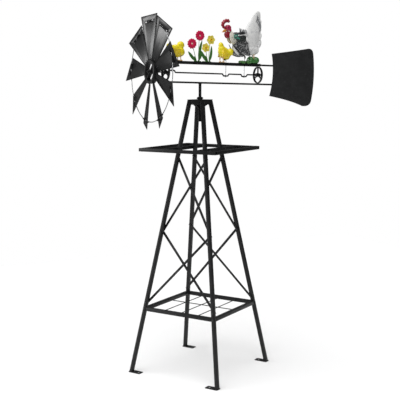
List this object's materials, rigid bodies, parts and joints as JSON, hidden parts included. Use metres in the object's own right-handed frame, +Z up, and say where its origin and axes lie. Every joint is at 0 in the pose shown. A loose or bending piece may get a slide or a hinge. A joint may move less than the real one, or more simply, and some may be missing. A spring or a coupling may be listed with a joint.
{
  "type": "garden windmill",
  "caption": "Four-legged steel garden windmill with a plant shelf, a turning head, a bladed fan, a tail vane and rocking painted birds worked by a crankshaft.",
  "frame": {"origin": "middle of the windmill's box, on the ground that its feet stand on; the tower's axis is 173 mm towards the fan from it", "axes": "+Z up; +X along the turning head from the fan towards the tail vane; +Y across the head"},
  "size_m": [1.1672, 0.8144, 2.0284],
  "materials": {
    "black_powder_coat": "satin black powder coat",
    "blade_coat": "satin dark grey powder coat",
    "plated_wire": "plated steel wire",
    "chick_yellow": "hand-painted cast resin, satin",
    "cream_paint": "hand-painted cast resin, satin",
    "rooster_white": "hand-painted cast resin, satin",
    "rooster_dark": "hand-painted cast resin, satin",
    "rooster_red": "hand-painted cast resin, satin",
    "red_petals": "hand-painted cast resin, satin",
    "yellow_petals": "hand-painted cast resin, satin",
    "green_paint": "hand-painted cast resin, satin",
    "fastener_steel": "blackened steel"
  },
  "bodies": {
    "tower": {"leg_front_left": "black_powder_coat", "leg_front_right": "black_powder_coat", "leg_back_right": "black_powder_coat", "leg_back_left": "black_powder_coat", "shelf_rail_front": "black_powder_coat", "shelf_rail_right": "black_powder_coat", "shelf_rail_back": "black_powder_coat", "shelf_rail_left": "black_powder_coat", "platform_rail_front": "black_powder_coat", "platform_rail_right": "black_powder_coat", "platform_rail_back": "black_powder_coat", "platform_rail_left": "black_powder_coat", "shelf_wire_1": "black_powder_coat", "shelf_wire_2": "black_powder_coat", "shelf_wire_3": "black_powder_coat", "shelf_cross_wire": "black_powder_coat", "platform_bar_left": "black_powder_coat", "platform_bar_right": "black_powder_coat", "brace_front_lower_1": "black_powder_coat", "brace_front_lower_2": "black_powder_coat", "brace_front_upper_1": "black_powder_coat", "brace_front_upper_2": "black_powder_coat", "brace_back_lower_1": "black_powder_coat", "brace_back_lower_2": "black_powder_coat", "brace_back_upper_1": "black_powder_coat", "brace_back_upper_2": "black_powder_coat", "tower_cap": "black_powder_coat", "pivot_sleeve": "black_powder_coat"},
    "head": {"spindle": "black_powder_coat", "stop_collar": "black_powder_coat", "lower_rail": "black_powder_coat", "figure_bar": "black_powder_coat", "tail_rod": "black_powder_coat", "front_bearing": "black_powder_coat", "rear_bearing": "black_powder_coat", "tail_vane": "black_powder_coat", "red_flowers": "red_petals", "daffodils": "yellow_petals", "chick_1_stand": "cream_paint", "chick_2_stand": "cream_paint", "grass_base": "green_paint"},
    "rotor": {"crankshaft": "black_powder_coat", "fan_hub": "black_powder_coat", "wire_ring": "plated_wire", "blade_1": "blade_coat", "blade_2": "blade_coat", "blade_3": "blade_coat", "blade_4": "blade_coat", "blade_5": "blade_coat", "blade_6": "blade_coat", "blade_7": "blade_coat", "blade_8": "blade_coat", "blade_9": "blade_coat"},
    "push_rod_front": {"push_rod_front": "plated_wire"},
    "push_rod_middle": {"push_rod_middle": "plated_wire"},
    "push_rod_rear": {"push_rod_rear": "plated_wire"},
    "chick_1": {"chick_1": "chick_yellow"},
    "chick_2": {"chick_2": "chick_yellow"},
    "rooster": {"rooster": "rooster_white"}
  },
  "joints": [
    {"name": "head_yaw", "type": "hinge", "parent": "tower", "child": "head", "pos_m": [-0.17297, 0, 1.5383], "axis": [0, 0, 1], "continuous": true},
    {"name": "rotor_spin", "type": "hinge", "parent": "head", "child": "rotor", "pos_m": [-0.4696, 0, 1.69006], "axis": [0.9997, 0, -0.0244], "continuous": true},
    {"name": "front_rod_turn", "type": "hinge", "parent": "rotor", "child": "push_rod_front", "pos_m": [-0.34437, 0, 1.69801], "axis": [0.9997, 0, -0.0244], "continuous": true},
    {"name": "middle_rod_turn", "type": "hinge", "parent": "rotor", "child": "push_rod_middle", "pos_m": [-0.0105, 0, 1.66784], "axis": [0.9997, 0, -0.0244], "continuous": true},
    {"name": "rear_rod_turn", "type": "hinge", "parent": "rotor", "child": "push_rod_rear", "pos_m": [0.10896, 0, 1.66492], "axis": [0.9997, 0, -0.0244], "continuous": true},
    {"name": "chick_1_rock", "type": "hinge", "parent": "head", "child": "chick_1", "pos_m": [-0.30044, 0, 1.77646], "axis": [0, -1, 0], "range_deg": [0, 28]},
    {"name": "chick_2_rock", "type": "hinge", "parent": "head", "child": "chick_2", "pos_m": [-0.03652, 0, 1.77001], "axis": [0, -1, 0], "range_deg": [0, 30]},
    {"name": "rooster_rock", "type": "hinge", "parent": "head", "child": "rooster", "pos_m": [0.16828, 0, 1.80001], "axis": [0, 1, 0], "range_deg": [0, 25]}
  ],
  "couplings": [
    {"joint": "front_rod_turn", "follows": "rotor_spin", "ratio": -1},
    {"joint": "middle_rod_turn", "follows": "rotor_spin", "ratio": -1},
    {"joint": "rear_rod_turn", "follows": "rotor_spin", "ratio": -1}
  ]
}
